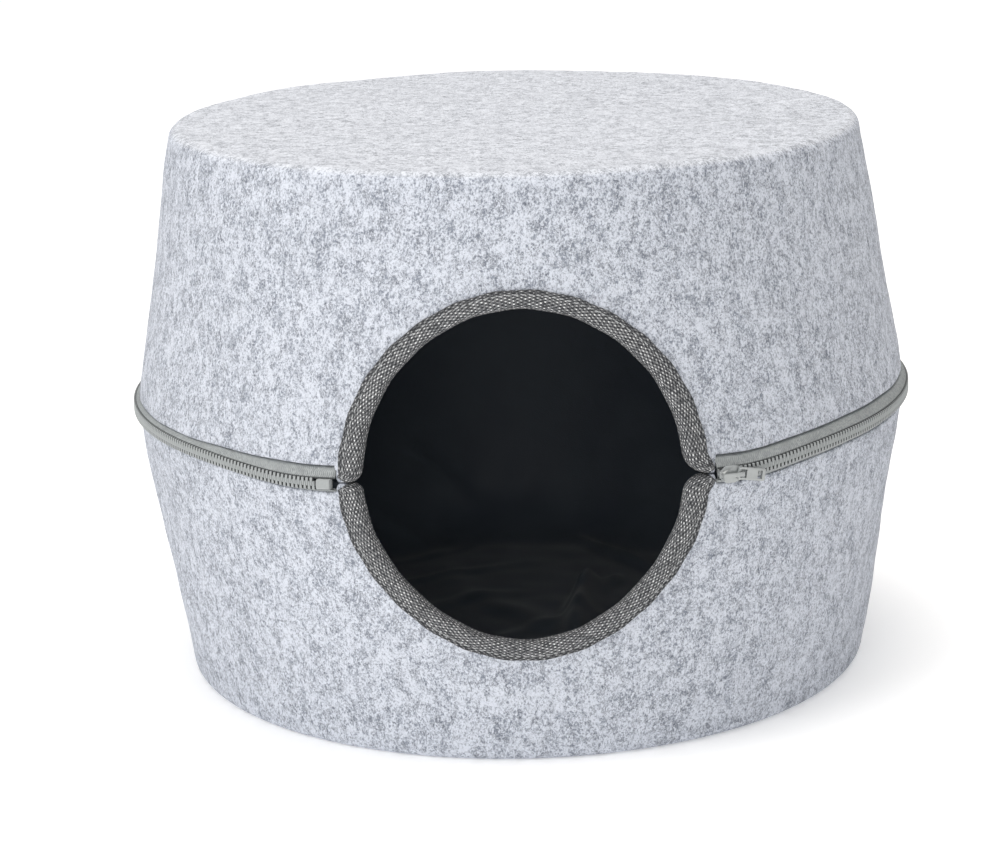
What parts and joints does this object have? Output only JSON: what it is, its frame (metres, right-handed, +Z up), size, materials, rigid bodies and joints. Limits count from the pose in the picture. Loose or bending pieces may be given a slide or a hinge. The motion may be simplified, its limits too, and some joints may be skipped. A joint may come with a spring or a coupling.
{
  "type": "pet cave bed",
  "caption": "Oval felt pet cave with a flat base and top, moulded halves zipped together at mid height, a dark lining and a round bound entrance.",
  "frame": {"origin": "on the floor, centre of the flat underside, under the middle of the zip's oval", "axes": "+X to the right across the entrance, +Y from the entrance to the back, +Z up"},
  "size_m": [0.4, 0.4356, 0.278],
  "materials": {
    "felt": "pressed heather felt, light blue-grey with darker and lighter fibres",
    "lining": "smooth black woven lining with soft creases",
    "binding": "ribbed dark grey woven tape with pale flecks",
    "zip_tape": "fine grey woven zip tape",
    "zip_teeth": "grey plastic coil, softly shining",
    "zip_metal": "pale grey painted cast metal"
  },
  "bodies": {
    "root": {"upper_shell": "felt", "lower_shell": "felt", "upper_lining": "lining", "lower_lining": "lining", "upper_binding": "binding", "lower_binding": "binding", "upper_zip_tape": "zip_tape", "lower_zip_tape": "zip_tape", "zip_chain": "zip_teeth", "zip_start_box": "zip_teeth", "zip_slider": "zip_metal", "zip_pull": "zip_metal"}
  },
  "joints": []
}
